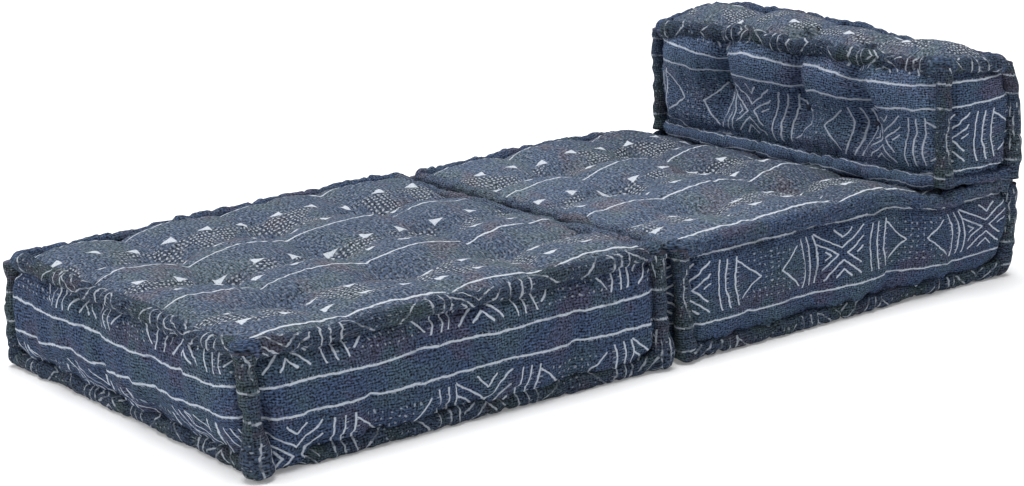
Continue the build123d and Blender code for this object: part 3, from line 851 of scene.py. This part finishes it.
def build_knots(name, places):
    """Small flat twine knots: a pad with two crossing turns over it."""
    verts, quads, loops = [], [], []

    def blob(centre, nrm, a, b, h, turn, rings=7, around=12):
        nrm = Vector(nrm)
        ex = nrm.orthogonal().normalized()
        ey = nrm.cross(ex)
        e1 = ex * math.cos(turn) + ey * math.sin(turn)
        e2 = nrm.cross(e1)
        start = len(verts)
        for q in range(rings + 1):
            th = math.pi * q / rings
            for m in range(around):
                f = 2 * math.pi * m / around
                v = Vector(centre) + e1 * (a * math.sin(th) * math.cos(f)) + e2 * (b * math.sin(th) * math.sin(f)) + nrm * (h * math.cos(th))
                verts.append(tuple(v))
        for q in range(rings):
            for m in range(around):
                m2 = (m + 1) % around
                quads.append((start + q * around + m, start + (q + 1) * around + m, start + (q + 1) * around + m2, start + q * around + m2))

    for number, (c, n) in enumerate(places):
        turn = number * 1.3
        blob(c, n, 0.0052, 0.0048, 0.0022, turn)
        blob(Vector(c) + Vector(n) * 0.0012, n, 0.0062, 0.0016, 0.0020, turn + 0.4)
        blob(Vector(c) + Vector(n) * 0.0014, n, 0.0060, 0.0016, 0.0020, turn + 1.9)
    return np.array(verts), quads


# ---------------------------------------------------------------- materials


class Net:
    """A short way to write node trees. Numbers go straight on the sockets."""

    def __init__(self, tree):
        self.t = tree

    def put(self, kind, **settings):
        n = self.t.nodes.new(kind)
        for k, v in settings.items():
            setattr(n, k, v)
        return n

    def wire(self, value, socket):
        if isinstance(value, bpy.types.NodeSocket):
            self.t.links.new(value, socket)
        else:
            socket.default_value = value

    def math(self, op, a, b=0.5, c=0.0, clamp=False):
        n = self.put("ShaderNodeMath", operation=op, use_clamp=clamp)
        self.wire(a, n.inputs[0])
        self.wire(b, n.inputs[1])
        self.wire(c, n.inputs[2])
        return n.outputs[0]

    def vec(self, op, a, b=None, scale=None):
        n = self.put("ShaderNodeVectorMath", operation=op)
        self.wire(a, n.inputs[0])
        if b is not None:
            self.wire(b, n.inputs[1])
        if scale is not None:
            self.wire(scale, n.inputs["Scale"])
        return n.outputs["Value"] if op in ("DOT_PRODUCT", "LENGTH", "DISTANCE") else n.outputs["Vector"]

    def xyz(self, x, y, z=0.0):
        n = self.put("ShaderNodeCombineXYZ")
        for v, s in zip((x, y, z), n.inputs):
            self.wire(v, s)
        return n.outputs[0]

    def split(self, v):
        n = self.put("ShaderNodeSeparateXYZ")
        self.wire(v, n.inputs[0])
        return n.outputs[0], n.outputs[1], n.outputs[2]

    def noise(self, v, scale, detail=2.0, rough=0.5, colour=False, distortion=0.0):
        n = self.put("ShaderNodeTexNoise")
        n.noise_dimensions = "3D"
        self.wire(v, n.inputs["Vector"])
        n.inputs["Scale"].default_value = scale
        n.inputs["Detail"].default_value = detail
        n.inputs["Roughness"].default_value = rough
        n.inputs["Distortion"].default_value = distortion
        return n.outputs["Color"] if colour else n.outputs["Fac"]

    def ramp(self, x, a, b, lo=0.0, hi=1.0, kind="SMOOTHSTEP"):
        n = self.put("ShaderNodeMapRange", interpolation_type=kind)
        self.wire(x, n.inputs["Value"])
        n.inputs["From Min"].default_value = a
        n.inputs["From Max"].default_value = b
        n.inputs["To Min"].default_value = lo
        n.inputs["To Max"].default_value = hi
        return n.outputs["Result"]

    def mix(self, f, a, b):
        n = self.put("ShaderNodeMix", data_type="RGBA")
        self.wire(f, n.inputs["Factor"])
        self.wire(a, n.inputs["A"]) if False else None
        for s, v in ((n.inputs[6], a), (n.inputs[7], b)):
            if isinstance(v, bpy.types.NodeSocket):
                self.t.links.new(v, s)
            else:
                s.default_value = (*v, 1.0)
        return n.outputs[2]

    def wrap(self, x, half):
        return self.math("WRAP", x, half, -half)

    def least(self, values):
        out = values[0]
        for v in values[1:]:
            out = self.math("MINIMUM", out, v)
        return out

    def most(self, values):
        out = values[0]
        for v in values[1:]:
            out = self.math("MAXIMUM", out, v)
        return out

    def stroke(self, p, a, b):
        """Distance from p to the straight stroke from a to b, in mm."""
        ax, ay = a
        bx, by = b[0] - ax, b[1] - ay
        rel = self.vec("SUBTRACT", p, (ax, ay, 0.0))
        length2 = bx * bx + by * by
        t = self.vec("DOT_PRODUCT", rel, (bx / length2, by / length2, 0.0))
        t = self.math("MAXIMUM", self.math("MINIMUM", t, 1.0), 0.0)
        foot = self.vec("SCALE", (bx, by, 0.0), scale=t)
        return self.vec("DISTANCE", rel, foot)


def cloth_coords(N, wob_big, wob_small):
    """Cloth coordinates in mm with the print's unsteady drawing, the plain ones and a vector for noises."""
    uv = N.put("ShaderNodeUVMap", uv_map="cloth").outputs[0]
    mm = N.vec("SCALE", uv, scale=1000.0)
    n1 = N.noise(N.vec("SCALE", mm, scale=1 / 42.0), 1.0, 1.0, 0.5, colour=True)
    n2 = N.noise(N.vec("SCALE", mm, scale=1 / 8.0), 1.0, 1.0, 0.5, colour=True)
    w1 = N.vec("SCALE", N.vec("SUBTRACT", n1, (0.5, 0.5, 0.5)), scale=wob_big)
    w2 = N.vec("SCALE", N.vec("SUBTRACT", n2, (0.5, 0.5, 0.5)), scale=wob_small)
    moved = N.vec("ADD", mm, N.vec("ADD", w1, w2))
    return mm, moved


def cloth_finish(N, out, mm, ink, dye_a, dye_b, dye_c, white, rib=0.27, speck=0.62, bump=0.35, coarse=1.0, shade=1.0):
    """Dyed ribbed cotton with a pale discharge print where ink is 1."""
    cells = N.vec("MULTIPLY", mm, (1 / 120.0, 1 / 90.0, 1.0))
    m1 = N.noise(cells, 1.0, 3.0, 0.6)
    m2 = N.noise(N.vec("ADD", N.vec("MULTIPLY", mm, (1 / 85.0, 1 / 70.0, 1.0)), (7.3, 2.1, 0.0)), 1.0, 3.0, 0.6)
    base = N.mix(N.ramp(m1, 0.46, 0.64), dye_a, dye_b)
    base = N.mix(N.ramp(m2, 0.52, 0.68, 0.0, 0.85), base, dye_c)
    # weave: ribs along u, broken up, with slubs and pale and dark specks of thread
    ribs = N.noise(N.vec("MULTIPLY", mm, (1 / (11.0 * coarse), 1 / (3.1 * coarse), 1.0)), 1.0, 2.0, 0.6)
    specks = N.noise(N.vec("MULTIPLY", mm, (1 / (3.3 * coarse), 1 / (2.8 * coarse), 1.0)), 1.0, 1.0, 0.5)
    tone = N.math("ADD", N.ramp(ribs, 0.3, 0.7, 1 - rib * 1.6, 1 + rib * 1.6, "LINEAR"), N.ramp(specks, 0.32, 0.68, -speck, speck, "LINEAR"))
    slow = N.noise(N.vec("SCALE", mm, scale=1 / 26.0), 1.0, 1.0, 0.5, colour=True)
    su, sv, _ = N.split(N.vec("ADD", mm, N.vec("SCALE", slow, scale=9.0)))
    weft = N.math("SINE", N.math("MULTIPLY", sv, 2 * math.pi / 3.9))
    warp = N.math("SINE", N.math("MULTIPLY", su, 2 * math.pi / 4.6))
    tone = N.math("ADD", tone, N.math("ADD", N.math("MULTIPLY", weft, rib * 1.15), N.math("MULTIPLY", warp, rib * 0.75)))
    tone = N.math("MULTIPLY", N.math("MAXIMUM", tone, 0.07), shade)
    toned = N.vec("SCALE", base, scale=tone)
    worn = N.ramp(N.noise(N.vec("MULTIPLY", mm, (1 / 3.0, 1 / 2.2, 1.0)), 1.0, 2.0, 0.6), 0.28, 0.48, 0.45, 1.0)
    colour = N.mix(N.math("MULTIPLY", ink, worn), toned, white)
    bsdf = N.put("ShaderNodeBsdfPrincipled")
    N.t.links.new(colour, bsdf.inputs["Base Color"])
    bsdf.inputs["Roughness"].default_value = 0.88
    bsdf.inputs["Specular IOR Level"].default_value = 0.18
    b = N.put("ShaderNodeBump")
    b.inputs["Strength"].default_value = bump
    b.inputs["Distance"].default_value = 0.0012
    N.t.links.new(N.math("ADD", N.math("MULTIPLY", ribs, 0.8), N.math("MULTIPLY", specks, 0.4)), b.inputs["Height"])
    N.t.links.new(b.outputs[0], bsdf.inputs["Normal"])
    N.t.links.new(bsdf.outputs[0], out.inputs["Surface"])


def new_material(name):
    m = bpy.data.materials.new(name)
    m.use_nodes = True
    m.node_tree.nodes.clear()
    out = m.node_tree.nodes.new("ShaderNodeOutputMaterial")
    return m, Net(m.node_tree), out


PERIOD_U, PERIOD_V = 303.0, 159.0


def side_print(name, dyes, white, strength=1.0, big=8.0, little=3.0, broken=0.0, tint=1.0):
    """Rows of crosses, chevrons, upright lines and dots between pairs of thin lines round a plain band."""
    m, N, out = new_material(name)
    mm, p = cloth_coords(N, big, little)
    u, v, _ = N.split(p)
    uw, vw = N.wrap(u, PERIOD_U / 2), N.wrap(v, PERIOD_V / 2)
    av = N.math("ABSOLUTE", vw)
    # the two long lines beside the plain band, with small teeth towards the motifs
    lines = N.math("SUBTRACT", N.math("ABSOLUTE", N.math("SUBTRACT", av, 59.0)), 1.5)
    stagger = N.math("MULTIPLY", N.math("SUBTRACT", N.noise(N.vec("SCALE", mm, scale=1 / 11.0), 1.0, 0.0, 0.5), 0.5), 12.0)
    tooth = N.most([
        N.math("SUBTRACT", N.math("ABSOLUTE", N.math("SUBTRACT", av, 56.8)), 1.5),
        N.math("SUBTRACT", N.math("ABSOLUTE", N.wrap(N.math("ADD", u, stagger), 4.4)), 0.8),
    ])
    # cross motif
    q = N.xyz(uw, vw, 0.0)
    strokes = [
        ((-50, 44), (-3, 11)), ((-3, 11), (40, 44)),
        ((-14, 45), (0, 30)), ((0, 30), (15, 45)),
        ((-48, 26), (-9, 0)), ((-9, 0), (-38, -21)),
        ((38, 25), (7, 1)), ((7, 1), (31, -21)),
        ((-35, -40), (0, -11)), ((0, -11), (32, -40)),
        ((-13, -41), (0, -27)), ((0, -27), (14, -41)),
        ((-34, 8), (-24, 0)), ((-34, -6), (-24, 0)),
        ((36, 8), (25, 1)),
    ]
    d = N.least([N.stroke(q, a, b) for a, b in strokes])
    # chevrons that point at each other
    uc = N.wrap(N.math("SUBTRACT", u, 152.0), PERIOD_U / 2)
    qc = N.xyz(uc, vw, 0.0)
    chev = N.least([
        N.stroke(qc, (-62, 36), (-18, 0)), N.stroke(qc, (-18, 0), (-54, -33)),
        N.stroke(qc, (56, 34), (22, 0)), N.stroke(qc, (22, 0), (60, -37)),
    ])
    # upright lines in threes beside the cross
    bend = N.math("ADD", uw, N.math("MULTIPLY", N.math("MULTIPLY", vw, vw), 0.0035))
    bend2 = N.math("SUBTRACT", uw, N.math("MULTIPLY", N.math("MULTIPLY", vw, vw), 0.0035))
    ups = N.least([
        N.math("ABSOLUTE", N.math("SUBTRACT", bend2, 52.0)), N.math("ABSOLUTE", N.math("SUBTRACT", bend2, 67.0)),
        N.math("ABSOLUTE", N.math("SUBTRACT", bend2, 83.0)), N.math("ABSOLUTE", N.math("ADD", bend, 46.0)),
        N.math("ABSOLUTE", N.math("ADD", bend, 59.0)), N.math("ABSOLUTE", N.math("ADD", bend, 76.0)),
    ])
    ups = N.math("MAXIMUM", ups, N.math("SUBTRACT", av, 42.0))
    comb = N.least([
        N.math("SUBTRACT", N.math("ABSOLUTE", N.math("SUBTRACT", bend2, 70.5)), 2.5),
        N.math("SUBTRACT", N.math("ABSOLUTE", N.math("SUBTRACT", bend2, 86.5)), 2.5),
        N.math("SUBTRACT", N.math("ABSOLUTE", N.math("ADD", bend, 62.0)), 2.5),
        N.math("SUBTRACT", N.math("ABSOLUTE", N.math("ADD", bend, 79.5)), 2.5),
    ])
    comb = N.most([comb, N.math("SUBTRACT", N.math("ABSOLUTE", N.wrap(v, 4.2)), 0.7), N.math("SUBTRACT", av, 40.0)])
    # dots in the waist between the chevrons
    jitter = N.vec("SCALE", N.vec("SUBTRACT", N.noise(N.vec("SCALE", mm, scale=1 / 14.0), 1.0, 0.0, 0.5, colour=True), (0.5, 0.5, 0.5)), scale=9.0)
    ju, jv, _ = N.split(N.vec("ADD", p, jitter))
    dot = N.vec("LENGTH", N.xyz(N.wrap(ju, 5.6), N.wrap(N.math("ADD", jv, 3.0), 5.6), 0.0))
    inside = N.math("SUBTRACT", N.math("ABSOLUTE", N.math("SUBTRACT", uc, 2.0)), N.math("ADD", N.math("MULTIPLY", av, 1.02), 12.0))
    dots = N.most([N.math("SUBTRACT", dot, 1.5), inside, N.math("SUBTRACT", av, 41.0)])
    thin = N.math("SUBTRACT", N.least([d, chev, ups]), 1.3)
    ink = N.ramp(N.least([thin, lines]), 0.6, -0.6)
    faint = N.math("MULTIPLY", N.ramp(N.least([comb, dots]), 0.6, -0.6), 0.55)
    faint = N.math("MAXIMUM", faint, N.math("MULTIPLY", N.ramp(tooth, 0.6, -0.6), 0.40))
    ink = N.math("MAXIMUM", ink, faint)
    patch = N.ramp(N.noise(N.vec("SCALE", mm, scale=1 / 55.0), 1.0, 2.0, 0.5), 0.30, 0.42, 0.55, 1.0)
    ink = N.math("MULTIPLY", N.math("MULTIPLY", ink, patch), strength)
    if broken:
        # gathered cloth shows the strokes in short lengths
        gaps = N.ramp(N.noise(N.vec("MULTIPLY", mm, (1 / 16.0, 1 / 13.0, 1.0)), 1.0, 1.0, 0.5), 0.42, 0.52, 1.0 - broken, 1.0)
        ink = N.math("MULTIPLY", ink, gaps)
    # the plain band is a little bluer and lighter than the band of motifs
    shade = N.ramp(av, 55.0, 62.0, 0.96 * tint, 1.06 * tint)
    cloth_finish(N, out, mm, ink, *dyes, white, rib=0.30, speck=0.90, shade=shade)
    return m


TOP_STRIPES = (309.0, 105.0, -98.0, -300.0)
TOP_ROWS = ((261.0, -19.0, 1), (208.0, -10.0, 1), (59.0, -5.0, 1), (-27.0, -20.0, 1), (-139.0, -18.0, 1), (-228.0, 5.0, -1))


def top_print(name, dyes, white, tint=1.0, stripes=TOP_STRIPES, triangle_rows=TOP_ROWS, half=31.0, fields_at=(0.43, 0.55), painted_shade=None):
    """Single long stripes with two rows of small triangles between them, and fields of specks."""
    m, N, out = new_material(name)
    mm, p = cloth_coords(N, 7.0, 2.4)
    u, v, _ = N.split(p)  # u across the cushion, v along it
    stripe = N.least([N.math("ABSOLUTE", N.math("SUBTRACT", u, at)) for at in stripes])
    stripe = N.math("SUBTRACT", stripe, 1.6)
    rows = []
    for at, shift, sign in triangle_rows:
        a = N.wrap(N.math("SUBTRACT", v, shift), half)
        b = N.math("SUBTRACT", u, at)
        # triangle: flat side on one end, point on the other
        size = 9.5
        b = N.math("MULTIPLY", b, 1.45)
        if sign > 0:
            slope = N.math("ADD", N.math("MULTIPLY", a, 0.55), N.math("ABSOLUTE", b))
            flat = N.math("SUBTRACT", N.math("MULTIPLY", a, -1.0), size)
        else:
            slope = N.math("ADD", N.math("MULTIPLY", a, -0.55), N.math("ABSOLUTE", b))
            flat = N.math("SUBTRACT", a, size)
        rows.append(N.math("MAXIMUM", N.math("MULTIPLY", N.math("SUBTRACT", slope, size * 0.62), 0.87), flat))
    tri = N.least(rows)
    # rows of dots between the two rows of triangles of each strip, in fields that come and go
    jitter = N.vec("SCALE", N.vec("SUBTRACT", N.noise(N.vec("SCALE", mm, scale=1 / 16.0), 1.0, 0.0, 0.5, colour=True), (0.5, 0.5, 0.5)), scale=8.0)
    ju, jv, _ = N.split(N.vec("ADD", p, jitter))
    dot = N.vec("LENGTH", N.xyz(N.wrap(ju, 3.4), N.wrap(jv, 3.4), 0.0))
    strip = N.least([N.math("ABSOLUTE", N.math("SUBTRACT", u, at)) for at in (234.0, 16.0, -184.0)])
    fields = N.noise(N.vec("MULTIPLY", mm, (1 / 60.0, 1 / 55.0, 1.0)), 1.0, 1.0, 0.4)
    cloud = N.ramp(fields, *fields_at)
    zone = N.math("MULTIPLY", N.ramp(strip, 46.0, 34.0), cloud)
    dots = N.math("MULTIPLY", N.math("MULTIPLY", N.ramp(dot, 2.2, 1.0), zone), 0.76)
    grain = N.noise(N.vec("SCALE", mm, scale=1 / 4.2), 1.0, 0.0, 0.5)
    fine = N.math("MULTIPLY", N.ramp(grain, 0.56, 0.70), 0.22)
    ink = N.ramp(N.least([stripe, tri]), 0.6, -0.6)
    ink = N.math("MAXIMUM", ink, N.math("MAXIMUM", fine, dots))
    ground = N.math("MULTIPLY", N.math("SUBTRACT", 1.0, N.math("MULTIPLY", zone, 0.38)), tint)
    if painted_shade:
        # painted shade: the ground darkens towards one end of the cloth, standing in for the shadow the back cushion
        # casts on the seat
        ground = N.math("MULTIPLY", ground, N.ramp(v, painted_shade[0], painted_shade[1], 1.0, painted_shade[2]))
    cloth_finish(N, out, mm, ink, *dyes, white, rib=0.15, speck=0.74, bump=0.3, coarse=1.22, shade=ground)
    return m


def bare_cloth(name, dyes, tint=1.0):
    """The same cloth where no print shows."""
    m, N, out = new_material(name)
    mm, p = cloth_coords(N, 8.0, 3.0)
    grain = N.noise(N.vec("SCALE", mm, scale=1 / 4.2), 1.0, 0.0, 0.5)
    cloth_finish(N, out, mm, N.ramp(grain, 0.58, 0.72, 0.0, 0.14), *dyes, (0.44, 0.49, 0.57), rib=0.28, speck=0.85, shade=tint)
    return m


def plain_cotton(name, colour, rough=0.9):
    m, N, out = new_material(name)
    pos = N.put("ShaderNodeTexCoord").outputs["Object"]
    n = N.noise(pos, 900.0, 2.0, 0.6)
    c = N.vec("SCALE", N.mix(0.0, colour, colour), scale=N.ramp(n, 0.3, 0.7, 0.75, 1.25, "LINEAR"))
    bsdf = N.put("ShaderNodeBsdfPrincipled")
    N.t.links.new(c, bsdf.inputs["Base Color"])
    bsdf.inputs["Roughness"].default_value = rough
    bsdf.inputs["Specular IOR Level"].default_value = 0.15
    N.t.links.new(bsdf.outputs[0], out.inputs["Surface"])
    return m


NAVY = (0.0345, 0.0555, 0.106)
TEAL = (0.042, 0.069, 0.100)
PLUM = (0.053, 0.055, 0.094)
BACK_DYES = ((0.040, 0.060, 0.103), (0.043, 0.067, 0.103), (0.050, 0.060, 0.099))
PALE = (0.49, 0.545, 0.63)
ROLL_DYES = ((0.029, 0.044, 0.073), (0.034, 0.052, 0.060), (0.042, 0.041, 0.060))
TOP_DYES = ((0.055, 0.078, 0.124), (0.065, 0.091, 0.115), (0.083, 0.080, 0.107))
side_mat = side_print("printed_side", (NAVY, TEAL, PLUM), PALE)
# painted light: a much lighter copy of the side print (tint 1.58) for the back cushion's front side and the front of
# its lower roll, standing in for light that face gets
lit_back_mat = side_print("printed_back", BACK_DYES, (0.48, 0.53, 0.62), tint=1.58)
roll_mat = side_print("printed_roll", ROLL_DYES, (0.40, 0.44, 0.50), strength=0.85, big=11.0, little=5.0, broken=0.75)
meet_mat = bare_cloth("bare_meeting_roll", TOP_DYES, tint=0.88)
bare_mat = bare_cloth("bare_roll", (NAVY, TEAL, PLUM), tint=0.92)
top_mats = {
    "front": top_print("printed_top", TOP_DYES, (0.52, 0.56, 0.62)),
    # painted shade on the seat's top: darker towards the back cushion, where that cushion's shadow falls
    "seat": top_print("printed_seat_top", TOP_DYES, (0.52, 0.56, 0.62), tint=1.14, painted_shade=(130.0, 440.0, 0.64)),
    "back": top_print("printed_back_top", TOP_DYES, (0.52, 0.56, 0.62), stripes=(334.0, 132.0),
                      triangle_rows=((262.0, 30.0, 1), (212.0, -35.0, 1)), half=64.0, fields_at=(0.49, 0.58)),
}
base_mat = side_print("printed_base", (NAVY, TEAL, PLUM), PALE, strength=0.8)
twine_mat = plain_cotton("twine", (0.045, 0.055, 0.085))

# ---------------------------------------------------------------- assemble


def smooth_shade(me):
    me.polygons.foreach_set("use_smooth", np.ones(len(me.polygons), dtype=bool))
    me.update()


for name, c in CUSHIONS.items():
    p, quads, loops, slots, pin, side_zone = build_cover(name)
    # the back cushion's front side takes the lighter copy of the print, which is painted light
    cover = make_object(f"{name}_cover", p, quads, loops, slots, (top_mats[name], side_mat, base_mat, lit_back_mat if name == "back" else side_mat))
    simulate(cover, pin, 20, 0.035, 4.0, side_zone)
    subdivide(cover)
    smooth_shade(cover.data)
    # tuft places on the finished surface
    tree_p = points(cover.data)
    places = []
    if c["kind"] == "floor":
        y0 = c["y"][0] - 0.013
        for tx in TUFT_X:
            for ty in (y0 + 0.175, y0 + 0.350, y0 + 0.525):
                for up in (1, -1):
                    m = (np.abs(tree_p[:, 2] - 0.09) > 0.04) & ((tree_p[:, 2] > 0.09) == (up > 0))
                    d2 = (tree_p[:, 0] - tx) ** 2 + (tree_p[:, 1] - ty) ** 2 + np.where(m, 0, 9)
                    places.append((tree_p[d2.argmin()], (0, 0, up)))
    else:
        for tx, tz_at in BACK_TUFTS:
            for up in (-1, 1):
                m = (tree_p[:, 1] > 0.62) == (up > 0)
                d2 = (tree_p[:, 0] - tx) ** 2 + (tree_p[:, 2] - tz_at) ** 2 + np.where(m, 0, 9)
                places.append((tree_p[d2.argmin()], (0, up, 0)))
    visible = [(t, n) for t, n in places if n[2] >= 0]
    star_folds(name, cover, visible, c["seed"] * 3)
    set_points(cover.data, sag(name, points(cover.data)))
    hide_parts(f"{name}_top_panel", f"{name}_base_panel", f"{name}_front_border", f"{name}_rear_border",
                f"{name}_left_border", f"{name}_right_border", f"{name}_cotton_core", f"{name}_tuft_ties")
    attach(cover, f"{name}_cushion")
    for which in ("top", "base"):
        v, q, l, sl = build_roll(name, which)
        o = make_object(f"{name}_{which}_welt", sag(name, v), q, l, sl, (roll_mat, meet_mat, bare_mat, lit_back_mat) if (name, which) == ("back", "base") else (roll_mat, meet_mat, bare_mat))
        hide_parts(f"{name}_{which}_roll")
        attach(o, f"{name}_cushion")
    v, q, l = build_corners(name)
    o = make_object(f"{name}_corner_welts", sag(name, v), q, l, None, (roll_mat,))
    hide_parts(f"{name}_corner_rolls")
    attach(o, f"{name}_cushion")
    knot_at = [(Vector(t) + Vector(n) * (0.0002 if n[2] >= 0 else -0.0018), n) for t, n in places]
    v, q = build_knots(name, knot_at)
    o = make_object(f"{name}_twine_knots", sag(name, v), q, None, None, (twine_mat,))
    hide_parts(f"{name}_tuft_knots")
    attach(o, f"{name}_cushion")

# ---------------------------------------------------------------- floor, light, camera

floor_mat = bpy.data.materials.new("floor")
floor_mat.use_nodes = True
fb = floor_mat.node_tree.nodes["Principled BSDF"]
fb.inputs["Base Color"].default_value = (0.85, 0.85, 0.855, 1)
fb.inputs["Roughness"].default_value = 0.9
fb.inputs["Specular IOR Level"].default_value = 0.1
fb.inputs["Emission Color"].default_value = (1, 1, 1, 1)
fb.inputs["Emission Strength"].default_value = 0.15
floor = make_object("floor", [(-30, -30, 0), (30, -30, 0), (30, 30, 0), (-30, 30, 0)], [(0, 1, 2, 3)], None, None, (floor_mat,))

world = bpy.data.worlds.new("studio")
scene.world = world
world.use_nodes = True
world.node_tree.nodes["Background"].inputs["Color"].default_value = (0.97, 0.98, 1.0, 1)
world.node_tree.nodes["Background"].inputs["Strength"].default_value = 0.36


sun = bpy.data.lights.new("studio_key", "SUN")
sun.energy = 3.2
sun.angle = math.radians(38)
key = bpy.data.objects.new("studio_key", sun)
scene.collection.objects.link(key)
key.rotation_euler = Vector((0.06, -0.06, -1.0)).to_track_quat("-Z", "Y").to_euler()
fill_sun = bpy.data.lights.new("studio_fill", "SUN")
fill_sun.energy = 0.86
fill_sun.angle = math.radians(25)
fill = bpy.data.objects.new("studio_fill", fill_sun)
scene.collection.objects.link(fill)
fill.rotation_euler = Vector((0.60, 0.70, -0.45)).to_track_quat("-Z", "Y").to_euler()

AZ, EL, ROLL = math.radians(53.94), math.radians(14.25), math.radians(-2.49)
fwd = Vector((-math.sin(AZ) * math.cos(EL), math.cos(AZ) * math.cos(EL), -math.sin(EL)))
r0 = fwd.cross(Vector((0, 0, 1))).normalized()
u0 = r0.cross(fwd)
right = math.cos(ROLL) * r0 + math.sin(ROLL) * u0
up = -math.sin(ROLL) * r0 + math.cos(ROLL) * u0
cam_data = bpy.data.cameras.new("camera")
cam_data.sensor_fit = "HORIZONTAL"
cam_data.sensor_width = 36.0
cam_data.lens = 36.0 * 2411.0 / 1024.0
cam_data.clip_start, cam_data.clip_end = 0.1, 100
cam = bpy.data.objects.new("camera", cam_data)
scene.collection.objects.link(cam)
cam.matrix_world = Matrix((
    (right.x, up.x, -fwd.x, 2.858),
    (right.y, up.y, -fwd.y, -2.108),
    (right.z, up.z, -fwd.z, 1.022),
    (0, 0, 0, 1),
))
scene.camera = cam
scene.view_settings.view_transform = "Standard"
scene.view_settings.look = "None"
